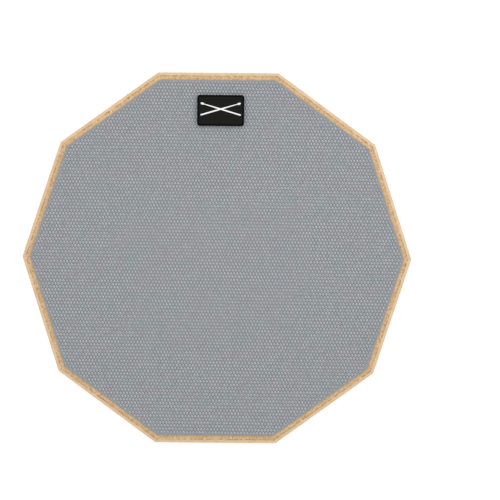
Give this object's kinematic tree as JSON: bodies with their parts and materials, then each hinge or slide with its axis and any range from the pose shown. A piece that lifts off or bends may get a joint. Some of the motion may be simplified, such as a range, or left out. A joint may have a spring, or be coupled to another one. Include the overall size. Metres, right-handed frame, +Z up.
{
  "type": "drum practice pad",
  "caption": "Ten-sided double-sided drum practice pad: embossed grey rubber face, chamfered fibreboard core, black foam back and a small raised badge near one side.",
  "frame": {"origin": "centre of the rear foam pad's underside, on the plane the pad rests on", "axes": "+Z up out of the grey playing face, +Y from the middle towards the badge, +X from corner to corner"},
  "size_m": [0.334, 0.3176, 0.0234],
  "materials": {
    "rubber_grey": "embossed matte",
    "fibreboard": "bare machined fibreboard",
    "foam_black": "closed-cell foam, matte",
    "pvc_black": "soft moulded, satin",
    "pvc_white": "soft moulded, satin",
    "adhesive_film": "dull film"
  },
  "bodies": {
    "root": {"rear_foam_pad": "foam_black", "rear_adhesive": "adhesive_film", "board_core": "fibreboard", "front_adhesive": "adhesive_film", "front_rubber_pad": "rubber_grey", "badge_adhesive": "adhesive_film", "badge_plate": "pvc_black", "badge_emblem": "pvc_white"}
  },
  "joints": []
}
